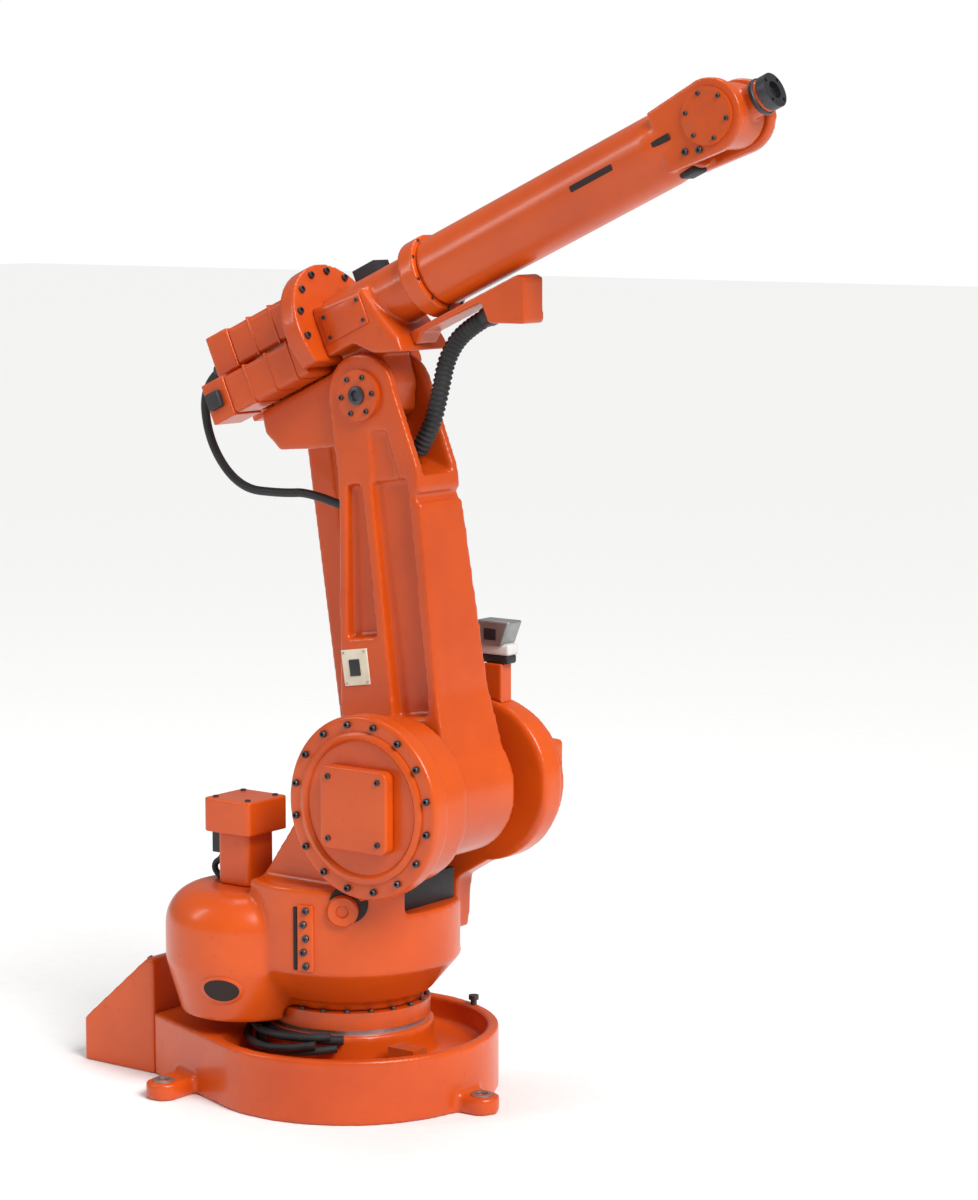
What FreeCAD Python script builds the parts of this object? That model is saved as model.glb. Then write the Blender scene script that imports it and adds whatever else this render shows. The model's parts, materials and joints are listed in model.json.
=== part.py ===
import FreeCAD, Part
import math
import os
import re

import Sketcher

# Six-axis industrial arm with a parallel linkage, in millimetres.
# +Z is up, +X is the way the arm reaches, and the origin is on the floor under the first axis.

doc = FreeCAD.newDocument("robot_arm")
sheet = doc.addObject("Spreadsheet::Sheet", "size")

DRIVING = {
    # kinematics
    "shoulder_x": (150, "first axis to second axis, forward"),
    "shoulder_z": (475, "floor to second axis"),
    "lower_length": (600, "second axis to third axis"),
    "upper_offset": (120, "third axis up to the tube's own axis"),
    "upper_length": (720, "third axis to the wrist's bend axis, along the tube"),
    "flange_reach": (85, "wrist's bend axis to the tool face"),
    "crank_length": (220, "crank's own axis to its pin"),
    "arm_lean": (8.6, "lower arm leans back from upright, degrees"),
    "tube_rise": (24.2, "tube rises from level, degrees"),
    "crank_drop": (15, "crank points down from level, degrees"),
    # clearances
    "gap": (4, "side gap between parts that turn on one axis"),
    "run_gap": (0.05, "gap round a running pin in its bore"),
    "link_gap": (0.8, "gap round the link pin in the top of the tie rod"),
    # base
    "ring_radius": (227, "outside of the round base wall"),
    "ring_top": (98, "top of the base wall"),
    "ring_wall": (18, "thickness of the base wall"),
    "flare_turn": (19.6, "where the base wall meets its flared sides, degrees behind square"),
    "deck_top": (58, "floor of the open part of the base"),
    "deck_back": (110, "the open part ends this far behind the first axis"),
    "drum_radius": (128, "fixed drum under the turntable"),
    "drum_top": (108, "top of the fixed drum"),
    "box_back": (432, "rear face of the cable box"),
    "box_front": (284, "front of the cable box, behind the first axis"),
    "box_half": (137, "half the width of the cable box"),
    "box_top": (183, "top of the cable box"),
    "box_sill": (68, "where the box's rear face starts to slope"),
    "box_slope": (134, "how far forward the slope runs"),
    "foot_front": (250, "front foot's hole, ahead of the first axis"),
    "foot_back": (185, "rear feet's holes, behind the first axis"),
    "foot_side": (225, "rear feet's holes, off the centre line"),
    "foot_radius": (27, "round end of a foot"),
    "foot_top": (26, "top of a foot"),
    "foot_hole": (9, "radius of a foot's hole"),
    # turning frame
    "table_radius": (122, "turntable"),
    "table_thick": (26, "turntable"),
    "neck_radius": (110, "frame's neck"),
    "belly_radius": (170, "frame's widest part"),
    "skirt_low": (158, "height where the cone starts"),
    "belly_low": (212, "height where the cone ends"),
    "belly_top": (342, "top of the frame's body"),
    "fork_floor": (300, "floor of the gap between the cheeks"),
    "cheek_radius": (126, "round part of each cheek"),
    "near_cheek": (64, "thickness of the near cheek"),
    "far_cheek": (44, "thickness of the far cheek"),
    "gear_radius": (137, "round flange of the shoulder gears"),
    "gear_thick": (32, "near shoulder gear"),
    "far_gear_thick": (16, "far shoulder gear's cover"),
    "far_gear_radius": (118, "far shoulder gear's cover"),
    "servo_side": (92, "square section of the servos' heads"),
    "servo_body": (62, "square section of the turning servo below its head"),
    "head_height": (52, "head of the turning servo"),
    "tower_x": (128, "turning servo, behind the first axis"),
    "tower_y": (95, "turning servo, off to the near side"),
    "tower_dome": (58, "rounding of that housing's top"),
    "tower_radius": (124, "round housing under the turning servo"),
    "tower_foot": (100, "lower end of that housing"),
    "tower_low": (122, "bottom of that housing"),
    "tower_waist": (204, "height where that housing is full size"),
    "tower_top": (318, "top of that housing"),
    "servo_top": (452, "top of the turning servo"),
    # lower arm
    "hub_radius": (102, "lower arm's hub"),
    "hub_near": (60, "hub's near face, off the centre plane"),
    "hub_far": (84, "hub's far face, off the centre plane"),
    "pin_radius": (26, "elbow pin"),
    "elbow_radius": (62, "round end of the elbow cheeks"),
    "elbow_near": (46, "near elbow cheek's outer face"),
    "elbow_far": (54, "far elbow cheek's outer face"),
    "elbow_wall": (15, "thickness of an elbow cheek"),
    "slot_depth": (104, "elbow slot below the third axis"),
    "slot_drop": (98, "fall of the elbow slot's floor to the rear"),
    "pocket_depth": (20, "recesses in the lower arm's sides"),
    "recess_depth": (7, "shallow recess beside the elbow slot"),
    "groove_depth": (8, "groove across the lower arm's front"),
    # crank and tie rod
    "crank_plate": (16, "crank's thickness"),
    "crank_hub": (62, "crank's hub"),
    "link_radius": (30, "round ends of the tie rod and the crank"),
    "link_pin": (12, "pins of the tie rod"),
    "rod_thick": (18, "tie rod"),
    "rod_gap": (3, "side gap between the crank and the tie rod"),
    "rod_width": (48, "tie rod"),
    # upper arm
    "saddle_half": (58, "half the width of the arm housing"),
    "saddle_back": (25, "rear of the arm housing, behind the third axis"),
    "saddle_front": (108, "front of the arm housing"),
    "saddle_low": (72, "underside of the arm housing over the third axis"),
    "plate_radius": (100, "rear gear plate"),
    "plate_thick": (30, "rear gear plate"),
    "plate_low": (66, "flat underside of the rear gear plate over the third axis"),
    "motor_side": (60, "square section of the wrist motors"),
    "motor_length": (204, "wrist motors with their caps"),
    "cap_length": (46, "caps of the wrist motors"),
    "sleeve_radius": (46, "fixed rear tube"),
    "collar_radius": (60, "collar where the tube turns"),
    "collar_back": (149, "rear of the collar"),
    "collar_front": (179, "front of the collar"),
    "tube_radius": (53, "turning tube"),
    "chin_back": (246, "rear of the bracket under the tube"),
    "chin_front": (331, "front of the bracket under the tube"),
    "chin_top": (56, "top of that bracket over the third axis"),
    # wrist
    "head_radius": (52, "round fork at the tube's end"),
    "head_half": (48, "half the fork's width"),
    "fork_gap": (31, "half the gap between the fork's cheeks"),
    "tilt_radius": (46, "tilting wrist housing"),
    "tilt_half": (27, "half the tilting housing's width"),
    "nose_radius": (24, "nose of the wrist"),
    "flange_radius": (25, "tool flange"),
    "flange_thick": (14, "tool flange"),
    "flange_bore": (12.5, "centring bore of the tool flange"),
    "flange_bore_depth": (8, "centring bore of the tool flange"),
    "flange_circle": (20, "radius of the tool flange's hole circle"),
    "flange_hole": (2.5, "holes of the tool flange"),
    # cables
    "coil_radius": (7, "cables round the drum"),
    "loop_radius": (7, "rear motor cable"),
    "hose_radius": (14, "hose in front of the elbow"),
}

for row, (alias, (value, note)) in enumerate(DRIVING.items(), start=1):
    sheet.set(f"A{row}", note)
    sheet.set(f"B{row}", str(value))
    sheet.setAlias(f"B{row}", alias)
scratch = doc.addObject("Spreadsheet::Sheet", "scratch")
doc.recompute()

NODES = []
Y_AXIS = FreeCAD.Vector(0, 1, 0)
# The turn that lays a +Z feature along each axis.
ALONG = {
    "x": FreeCAD.Rotation(Y_AXIS, 90),
    "y": FreeCAD.Rotation(FreeCAD.Vector(1, 0, 0), -90),
    "z": FreeCAD.Rotation(),
}
FRAME_OF = {
    # name: (x, z, turn about +Y), as expressions
    "ground": ("0", "0", "0"),
    "lower": ("shoulder_x", "shoulder_z", "-arm_lean"),
    "upper": (
        "shoulder_x - lower_length * sin(arm_lean * 1deg)",
        "shoulder_z + lower_length * cos(arm_lean * 1deg)",
        "-tube_rise",
    ),
    "crank": ("shoulder_x", "shoulder_z", "-crank_drop"),
    "rod": (
        "shoulder_x - crank_length * cos(crank_drop * 1deg)",
        "shoulder_z - crank_length * sin(crank_drop * 1deg)",
        "-arm_lean",
    ),
}


def expr(text):
    """An expression on the sheet's cells, with the sheet's name put before each alias."""
    names = sorted(DRIVING, key=len, reverse=True)
    return re.sub(r"\b(" + "|".join(names) + r")\b", r"size.\1", str(text))


def number(text):
    """The value of an expression on the sheet's cells, worked out on the scratch sheet."""
    scratch.set("A1", "=" + expr(text))
    scratch.recompute()
    return float(scratch.get("A1"))


def bind(thing, **sizes):
    for prop, text in sizes.items():
        thing.setExpression(prop, expr(text))
    return thing


def place(thing, x="0", y="0", z="0", along="z", turn=None):
    thing.Placement = FreeCAD.Placement(FreeCAD.Vector(), turn or ALONG[along])
    thing.setExpression("Placement.Base.x", expr(x))
    thing.setExpression("Placement.Base.y", expr(y))
    thing.setExpression("Placement.Base.z", expr(z))
    return thing


def cylinder(name, radius, length, x="0", y="0", z="0", along="z"):
    thing = bind(doc.addObject("Part::Cylinder", name), Radius=radius, Height=length)
    return place(thing, x, y, z, along)


def cone(name, low, high, length, x="0", y="0", z="0", along="z"):
    thing = bind(doc.addObject("Part::Cone", name), Radius1=low, Radius2=high, Height=length)
    return place(thing, x, y, z, along)


def block(name, x0, x1, y0, y1, z0, z1):
    thing = doc.addObject("Part::Box", name)
    bind(thing, Length=f"({x1}) - ({x0})", Width=f"({y1}) - ({y0})", Height=f"({z1}) - ({z0})")
    return place(thing, x0, y0, z0)


def outline(name, points, low, high, plane="XZ"):
    """A PartDesign body: the closed outline through points, padded from low to high across its plane."""
    body = doc.addObject("PartDesign::Body", name)
    origin = [f for f in body.Origin.OriginFeatures if f.Role == plane + "_Plane"][0]
    sketch = body.newObject("Sketcher::SketchObject", name + "_sketch")
    sketch.AttachmentSupport = (origin, [""])
    sketch.MapMode = "FlatFace"
    start = f"-({high})" if plane == "XZ" else low
    sketch.setExpression("AttachmentOffset.Base.z", expr(start))
    doc.recompute()
    corners = [FreeCAD.Vector(number(u), number(v), 0) for u, v in points]
    for i, corner in enumerate(corners):
        sketch.addGeometry(Part.LineSegment(corner, corners[(i + 1) % len(corners)]))
    for i in range(len(corners)):
        sketch.addConstraint(Sketcher.Constraint("Coincident", i, 2, (i + 1) % len(corners), 1))
    for i, (u, v) in enumerate(points):
        for kind, text, value in (("DistanceX", u, corners[i].x), ("DistanceY", v, corners[i].y)):
            if abs(value) < 1e-9 and str(text) == "0":
                on_axis = -2 if kind == "DistanceX" else -1
                sketch.addConstraint(Sketcher.Constraint("PointOnObject", i, 1, on_axis))
                continue
            index = sketch.addConstraint(Sketcher.Constraint(kind, -1, 1, i, 1, value))
            sketch.renameConstraint(index, f"{kind}{i}")
            sketch.setExpression(f"Constraints.{kind}{i}", expr(text))
    pad = body.newObject("PartDesign::Pad", name + "_pad")
    pad.Profile = sketch
    bind(pad, Length=f"({high}) - ({low})")
    doc.recompute()
    return body


def fillet(name, thing, radius, wanted):
    """Rounds the edges of thing that wanted picks, by a named radius."""
    doc.recompute()
    edges = [i for i, e in enumerate(thing.Shape.Edges, start=1) if wanted(e)]
    rounded = doc.addObject("Part::Fillet", name)
    rounded.Base = thing
    rounded.Edges = [(i, radius, radius) for i in edges]
    doc.recompute()
    return rounded


def fuse(name, *things):
    thing = doc.addObject("Part::MultiFuse", name)
    thing.Shapes = list(things)
    thing.Refine = True
    doc.recompute()
    return thing


def cut(name, base, *tools):
    thing = doc.addObject("Part::Cut", name)
    thing.Base = base
    thing.Tool = tools[0] if len(tools) == 1 else fuse(name + "_tool", *tools)
    thing.Refine = True
    doc.recompute()
    return thing


def node(label, thing, frame="ground"):
    """Names a finished piece and seats it in its frame."""
    x, z, turn = FRAME_OF[frame]
    if frame != "ground":
        if thing.TypeId in ("Part::Box", "Part::Cylinder"):
            blank, thing = thing, doc.addObject("Part::Compound", label + "_seat")
            thing.Links = [blank]
        thing.Placement = FreeCAD.Placement(FreeCAD.Vector(), FreeCAD.Rotation(Y_AXIS, 10))
        thing.setExpression("Placement.Base.x", expr(x))
        thing.setExpression("Placement.Base.z", expr(z))
        thing.setExpression("Placement.Rotation.Angle", expr(turn))
    thing.Label = label
    NODES.append(thing)
    return thing


def straight(edge, axis):
    """Whether an edge is a straight line along x, y or z."""
    if edge.Curve.TypeId != "Part::GeomLine":
        return False
    way = edge.tangentAt(edge.FirstParameter)
    return abs(abs(getattr(way, axis)) - 1) < 1e-6


# ---- base -------------------------------------------------------------------------------------
wall = cylinder("wall", "ring_radius", "ring_top")
drum = cylinder("drum", "drum_radius", "drum_top")
flare_x = "-ring_radius * sin(flare_turn * 1deg)"
flare_y = "ring_radius * cos(flare_turn * 1deg)"
flare = outline("flare", [
    ("-box_front", "-box_half"), (flare_x, "-" + flare_y), (flare_x, flare_y),
    ("-box_front", "box_half"),
], "0", "ring_top", "XY")
feet = []
for tag, x, y in (("a", "foot_front", "0"), ("b", "-foot_back", "foot_side"),
                  ("c", "-foot_back", "-foot_side")):
    feet.append(cylinder("foot_" + tag, "foot_radius", "foot_top", x, y))
feet.append(block("lug_a", "drum_radius - 30", "foot_front", "-foot_radius", "foot_radius", "0", "foot_top"))
feet.append(block("lug_b", "-foot_back - foot_radius", "-foot_back + foot_radius",
                  "drum_radius / 2", "foot_side", "0", "foot_top"))
feet.append(block("lug_c", "-foot_back - foot_radius", "-foot_back + foot_radius",
                  "-foot_side", "-drum_radius / 2", "0", "foot_top"))
bowl_round = cylinder("bowl_round", "ring_radius - ring_wall", "ring_top", z="deck_top")
bowl_front = block("bowl_front", "-deck_back", "ring_radius", "-ring_radius", "ring_radius",
                   "deck_top", "ring_top + 20")
bowl = doc.addObject("Part::Common", "bowl")
bowl.Base, bowl.Tool = bowl_round, bowl_front
holes = [cylinder("hole_" + tag, "foot_hole", "foot_top + 2", x, y, "-1")
         for tag, x, y in (("a", "foot_front", "0"), ("b", "-foot_back", "foot_side"),
                           ("c", "-foot_back", "-foot_side"))]
shell = cut("base_shell", fuse("base_round", wall, flare), bowl)
node("base_casting", cut("base", fuse("base_whole", shell, drum, *feet), *holes))
cable_box = outline("cable_box_blank", [
    ("-box_back", "0"), ("-box_back", "box_sill"), ("-box_back + box_slope", "box_top"),
    ("-box_front", "box_top"), ("-box_front", "0"),
], "-box_half", "box_half")
node("cable_box", fillet("cable_box_soft", cable_box, 6,
                         lambda e: straight(e, "x") and e.BoundBox.ZMin > 150
                         or straight(e, "y") and e.BoundBox.XMax < -290 and e.BoundBox.ZMin > 60))

lid = outline("lid_blank", [
    ("-box_back + 14", "box_sill + 14 * (box_top - box_sill) / box_slope"),
    ("-box_back + box_slope - 8", "box_top - 8 * (box_top - box_sill) / box_slope"),
    ("-box_back + box_slope - 10", "box_top - 8 * (box_top - box_sill) / box_slope + 3"),
    ("-box_back + 12", "box_sill + 14 * (box_top - box_sill) / box_slope + 3"),
], "-box_half + 16", "box_half - 16")
node("base_lid", lid)
plugs = [cylinder("plug_a", "17", "14", "-box_back - 14", "-62", "38", "x"),
         cylinder("plug_b", "17", "14", "-box_back - 14", "-14", "38", "x"),
         block("plug_c", "-box_back - 14", "-box_back", "22", "96", "22", "54"),
         block("plug_plate", "-box_back - 3", "-box_back", "-92", "106", "16", "60")]
node("base_connectors", fuse("plugs", *plugs))
node("stop_block", block("stop_blank", "138", "186", "-84", "-50", "deck_top", "ring_top + 2"))
knob_x = "(ring_radius - ring_wall / 2) * cos(67 * 1deg)"
knob_y = "(ring_radius - ring_wall / 2) * sin(67 * 1deg)"
node("rim_knob", fuse("knob", cylinder("knob_stem", "5", "8", knob_x, knob_y, "ring_top"),
                      cylinder("knob_head", "8", "7", knob_x, knob_y, "ring_top + 8")))
node("bearing_ring", cylinder("bearing", "table_radius - 4", "8", z="drum_top"))
coil = doc.addObject("Part::Torus", "coil")
bind(coil, Radius1="drum_radius + coil_radius + 0.3", Radius2="coil_radius", Angle3="112")
coil.Placement = FreeCAD.Placement(FreeCAD.Vector(), FreeCAD.Rotation(FreeCAD.Vector(0, 0, 1), 192))
coil.setExpression("Placement.Base.z", expr("ring_top + coil_radius + 0.3"))
node("base_cables", coil)

# ---- turning frame ----------------------------------------------------------------------------
TABLE = "drum_top + 8.5"
NECK = f"{TABLE} + table_thick"
node("turntable", cylinder("table", "table_radius", "table_thick", z=TABLE))

neck = cylinder("neck", "neck_radius", f"belly_low - ({NECK})", z=NECK)
skirt = cone("skirt", "neck_radius + 14", "belly_radius", "belly_low - skirt_low", z="skirt_low")
belly = cylinder("belly", "belly_radius", "belly_top - belly_low", z="belly_low")
near_y0, near_y1 = "-hub_near - gap - near_cheek", "-hub_near - gap"
far_y0 = "hub_far + gap + crank_plate + rod_gap + rod_thick + gap"
far_y1 = far_y0 + " + far_cheek"
fork_room = block("fork_room", "-belly_radius - 1", "belly_radius + 1", near_y1, far_y0,
                  "fork_floor", "belly_top + 20")
servo_room = block("servo_room", "-belly_radius - 1", "-belly_radius * 0.42", "-belly_radius - 1",
                   near_y1 + " + 1", "tower_top", "belly_top + 20")
belly = cut("belly_fork", belly, fork_room, servo_room)
web = [
    ("shoulder_x - cheek_radius + 2", "shoulder_z"), ("-belly_radius * 0.42", "belly_top - 6"),
    ("-belly_radius * 0.42", "belly_low + 20"), ("belly_radius * 0.58", "belly_low + 20"),
    ("belly_radius * 0.62", "belly_top - 26"), ("shoulder_x + cheek_radius * 0.83", "shoulder_z - 70"),
    ("shoulder_x + cheek_radius - 2", "shoulder_z"),
]
frame_bits = [neck, skirt, belly]
for tag, low, high in (("near", near_y0, near_y1), ("far", far_y0, far_y1)):
    frame_bits.append(outline("web_" + tag, web, low, high))
    frame_bits.append(cylinder("cheek_" + tag, "cheek_radius", f"({high}) - ({low})",
                               "shoulder_x", low, "shoulder_z", "y"))
tower_at = ("-tower_x", "-tower_y")
tower_bits = [
    cone("tower_cone", "tower_foot", "tower_radius", "tower_waist - tower_low", *tower_at,
         "tower_low"),
    cylinder("tower_round", "tower_radius", "tower_top - tower_waist", *tower_at, "tower_waist"),
]
tower = fillet("tower_round_top", fuse("tower", *tower_bits), number("tower_dome"),
               lambda e: e.Curve.TypeId == "Part::GeomCircle"
               and e.BoundBox.ZMin > number("tower_top") - 8)
table_room = cylinder("table_room", "table_radius + 5", f"{NECK} - tower_low + 1", z="tower_low - 1")
tower = cut("tower_over_table", tower, table_room)
trough = cylinder("trough", "crank_length + link_radius + 8",
                  "crank_plate + rod_gap + rod_thick + gap + 0.5", "shoulder_x", "hub_far + gap - 0.5",
                  "shoulder_z", "y")
hub_room = cylinder("hub_room", "hub_radius + 8", "hub_near + gap + hub_far + gap", "shoulder_x",
                    "-hub_near - gap", "shoulder_z", "y")
rod_room = block("rod_room", "-180", "100", "hub_far + gap - 0.5", far_y0 + " + 0.5", "225",
                 "belly_top + 20")
node("frame_casting", cut("frame", fuse("frame_whole", tower, *frame_bits), trough, hub_room, rod_room))

servo = block("servo", "-tower_x - servo_body / 2", "-tower_x + servo_body / 2",
              "-tower_y - servo_body / 2", "-tower_y + servo_body / 2", "tower_top",
              "servo_top - head_height")
node("motor1", fillet("servo_soft", servo, 8, lambda e: straight(e, "z")))
head = block("servo_head", "-tower_x - servo_side / 2", "-tower_x + servo_side / 2",
             "-tower_y - servo_side / 2", "-tower_y + servo_side / 2", "servo_top - head_height",
             "servo_top")
node("motor1_head", fillet("servo_head_soft", head, 8, lambda e: straight(e, "z")))
socket = block("socket", "-tower_x - servo_body / 2 - 22", "-tower_x - servo_body / 2",
               "-tower_y - 17", "-tower_y + 17", "servo_top - head_height - 38",
               "servo_top - head_height - 2")
node("motor1_connector", socket)

gear = cylinder("gear_blank", "gear_radius", "gear_thick", "shoulder_x",
                near_y0 + " - gear_thick", "shoulder_z", "y")
node("gearbox2", fillet("gear_soft", gear, 5, lambda e: e.BoundBox.YMax < -155))
cover_y = near_y0 + " - gear_thick"
cover = block("cover_blank", "shoulder_x - 62", "shoulder_x + 62", cover_y + " - 20", cover_y,
              "shoulder_z - 62", "shoulder_z + 62")
node("motor2_cover", fillet("cover_soft", cover, 14, lambda e: straight(e, "y")))
far_gear = cylinder("far_gear", "far_gear_radius", "far_gear_thick", "shoulder_x", far_y1,
                    "shoulder_z", "y")
node("gearbox3", fillet("far_gear_soft", far_gear, 5, lambda e: e.BoundBox.YMin > 180))
servo_y = far_y1 + " + far_gear_thick"
servo3 = block("servo3", "shoulder_x - servo_side / 2", "shoulder_x + servo_side / 2", servo_y,
               servo_y + " + 96", "shoulder_z - servo_side / 2", "shoulder_z + servo_side / 2")
node("motor3", fillet("servo3_soft", servo3, 8, lambda e: straight(e, "y")))
stem = block("stem", "shoulder_x + 2", "shoulder_x + 36", far_y0 + " + 6", far_y0 + " + 34",
             "shoulder_z + cheek_radius - 8", "shoulder_z + cheek_radius + 54")
cheek_again = cylinder("cheek_again", "cheek_radius", "far_cheek", "shoulder_x", far_y0,
                       "shoulder_z", "y")
node("cable_bracket", cut("bracket", stem, cheek_again))
top_plug = block("top_plug", "shoulder_x - 10", "shoulder_x + 54", far_y0 + " + 2", far_y0 + " + 40",
                 "shoulder_z + cheek_radius + 54", "shoulder_z + cheek_radius + 120")
node("motor3_connector", top_plug)
guard = block("guard", "60", "142", "-hub_near + 8", "hub_far - 8", "fork_floor", "fork_floor + 48")
node("hose_guard", fillet("guard_soft", guard, 10, lambda e: straight(e, "y")))

# ---- lower arm, about the second axis, z along the arm ------------------------------------------
side = [
    ("-hub_radius + 6", "0"), ("-106", "144"), ("-62", "lower_length - slot_depth - 16"),
    ("-elbow_radius", "lower_length"), ("elbow_radius", "lower_length"),
    ("90", "lower_length - slot_depth - 16"), ("80", "144"), ("hub_radius - 10", "0"),
]
front = [
    ("-hub_near", "-20"), ("hub_far", "-20"), ("hub_far", "70"), ("hub_far - 8", "150"),
    ("elbow_far", "lower_length - slot_depth - 16"), ("elbow_far", "lower_length + 80"),
    ("-elbow_near", "lower_length + 80"), ("-elbow_near", "lower_length - slot_depth - 16"),
    ("-hub_near + 8", "150"), ("-hub_near", "70"),
]
blade = doc.addObject("Part::Common", "blade")
blade.Base = fuse("blade_side", outline("blade_flat", side, "-hub_near", "hub_far"),
                  cylinder("elbow_end", "elbow_radius", "hub_near + hub_far", "0", "-hub_near",
                           "lower_length", "y"))
blade.Tool = outline("blade_front", front, "-hub_radius - 20", "hub_radius + 20", "YZ")
doc.recompute()
slot = outline("elbow_slot", [
    ("-130", "lower_length - slot_depth - slot_drop"), ("0", "lower_length - slot_depth"),
    ("36", "lower_length - slot_depth"),
    ("130", "lower_length - slot_depth - 46"), ("130", "lower_length + 90"),
    ("-130", "lower_length + 90"),
], "-elbow_near + elbow_wall", "elbow_far - elbow_wall")
recess_a = outline("recess_a", [
    ("-78", "242"), ("-22", "242"), ("-20", "470"), ("-46", "470"),
], "-hub_near - 10", "-elbow_near + pocket_depth - 6")
recess_b = outline("recess_b", [("-6", "118"), ("60", "118"), ("66", "470"), ("0", "470")],
                   "-hub_near - 10", "-elbow_near + pocket_depth - 6")
recess_d = outline("recess_d", [("2", "469"), ("54", "469"), ("38", "545"), ("8", "545")],
                   "-hub_near - 10", "-elbow_near + recess_depth")
recess_c = outline("recess_c", [
    ("-80", "170"), ("60", "170"), ("68", "420"), ("-50", "420"),
], "elbow_far - pocket_depth + 6", "hub_far + 20")
hub = fuse("hub", cylinder("hub_round", "hub_radius", "hub_near + hub_far", "0", "-hub_near", "0",
                           "y"),
           cylinder("hub_boss", "70", "gap - 0.4", "0", "-hub_near - gap + 0.4", "0", "y"))
groove = block("groove", "89 - groove_depth", "130", "-hub_near - 10", "hub_far + 10", "431", "447")
arm_whole = fuse("arm_whole", blade, hub)
arm_body = cut("arm_body", arm_whole, slot, recess_a, recess_b, recess_c, recess_d,
               groove)
node("lower_arm_casting", arm_body, "lower")
node("elbow_shaft", cylinder("shaft", "pin_radius", "elbow_near + elbow_far - elbow_wall * 2", "0",
                             "-elbow_near + elbow_wall", "lower_length", "y"), "lower")
node("elbow_cap_near", cylinder("cap_near", "38", "8", "0", "-elbow_near - 8", "lower_length", "y"),
     "lower")
node("elbow_cap_far", cylinder("cap_far", "38", "8", "0", "elbow_far", "lower_length", "y"), "lower")
node("rating_plate", cut("plate_fit", block("plate_blank", "-90", "-42", "-hub_near + 6.5",
                                            "-elbow_near", "172", "226"), arm_whole), "lower")

# ---- crank and tie rod --------------------------------------------------------------------------
crank_y0, crank_y1 = "hub_far + gap", "hub_far + gap + crank_plate"
rod_y0 = "hub_far + gap + crank_plate + rod_gap"
crank_bits = [
    cylinder("crank_hub_round", "crank_hub", "crank_plate", "0", crank_y0, "0", "y"),
    cylinder("crank_end", "link_radius", "crank_plate", "-crank_length", crank_y0, "0", "y"),
    outline("crank_bar", [("-crank_length", "-link_radius"), ("0", "-crank_hub + 6"),
                          ("0", "crank_hub - 6"), ("-crank_length", "link_radius")],
            crank_y0, crank_y1),
    cylinder("crank_shaft", "45", f"{far_y0} - 0.4 - ({crank_y1})", "0", crank_y1, "0", "y"),
]
node("crank_arm", fuse("crank", *crank_bits), "crank")
node("crank_pin", cylinder("crank_pin_blank", "link_pin", "rod_gap + rod_thick + 2",
                           "-crank_length", crank_y1, "0", "y"), "crank")

rod_bits = [
    block("rod_bar", "-rod_width / 2", "rod_width / 2", rod_y0, rod_y0 + " + rod_thick", "0",
          "lower_length"),
    cylinder("rod_low", "link_radius", "rod_thick", "0", rod_y0, "0", "y"),
    cylinder("rod_high", "link_radius", "rod_thick", "0", rod_y0, "lower_length", "y"),
]
rod_holes = [
    cylinder("rod_hole_low", "link_pin + run_gap", "rod_thick + 4", "0", rod_y0 + " - 2", "0", "y"),
    cylinder("rod_hole_high", "link_pin + link_gap", "rod_thick + 4", "0", rod_y0 + " - 2",
             "lower_length", "y"),
]
node("tie_rod", cut("rod", fuse("rod_whole", *rod_bits), *rod_holes), "rod")

# ---- upper arm, about the third axis, x along the tube --------------------------------------------
LINK_X = "-crank_length * cos((tube_rise - crank_drop) * 1deg)"
LINK_Z = "crank_length * sin((tube_rise - crank_drop) * 1deg)"
tube_z = "upper_offset"
plate_x1 = "-saddle_back"
plate_x0 = "-saddle_back - plate_thick"
saddle = outline("saddle", [
    (plate_x1, "saddle_low"), ("28", "saddle_low"), ("58", "44"), ("saddle_front", "26"),
    ("saddle_front", "50"), ("saddle_front - 20", "upper_offset - 18"),
    ("saddle_front - 32", "upper_offset + 22"), (plate_x1, "upper_offset + 30"),
], "-saddle_half", "saddle_half")
saddle = fillet("saddle_soft", saddle, 9, lambda e: e.Curve.TypeId == "Part::GeomLine"
                and e.BoundBox.YLength < 1 and e.BoundBox.ZMin > 95 and e.BoundBox.XMax > -20)
tongue_low, tongue_high = "-elbow_near + elbow_wall + 5", "elbow_far - elbow_wall - 5"
tongue = outline("tongue", [
    ("-212", "22"), ("-196", "-12"), ("-140", "-32"), ("-72", "-54"), ("-20", "-44"), ("30", "-38"),
    ("50", "0"), ("56", "saddle_low + 6"), (plate_x1, "saddle_low + 6"), (plate_x1, "plate_low - 2"),
    (plate_x0, "plate_low - 10"), ("-206", "54"),
], tongue_low, tongue_high)
sleeve = cylinder("sleeve", "sleeve_radius", f"collar_back - ({plate_x1})", plate_x1, "0", tube_z,
                  "x")
lobe_low, lobe_high = "crank_plate + hub_far + gap - 24", "hub_far + gap + crank_plate"
lobe = outline("lobe", [
    (LINK_X, f"{LINK_Z} - 32"), (plate_x0, "20"), ("22", "40"), ("22", "upper_offset"),
    (plate_x1, "upper_offset"), (plate_x1, "plate_low - 2"), (plate_x0, "plate_low - 2"),
    (LINK_X, f"{LINK_Z} + 32"),
], lobe_low, lobe_high)
lobe_end = cylinder("lobe_end", "32", "24", LINK_X, lobe_low, LINK_Z, "y")
lobe_root = outline("lobe_root", [(plate_x1, "saddle_low + 4"), ("22", "saddle_low + 4"),
                                  ("22", "upper_offset + 10"), (plate_x1, "upper_offset + 10")],
                    "saddle_half - 4", lobe_high)
bore = cylinder("bore", "pin_radius + run_gap", "200", "0", "-100", "0", "y")
housing = cut("housing", fuse("housing_whole", saddle, tongue, sleeve, lobe, lobe_end, lobe_root),
              bore)
node("arm_housing", housing, "upper")
node("link_pin", cylinder("link_pin_blank", "link_pin", "rod_gap + rod_thick + 2", LINK_X,
                          lobe_high, LINK_Z, "y"), "upper")
plate = cylinder("plate_round", "plate_radius", "plate_thick", plate_x0, "0", tube_z, "x")
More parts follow.
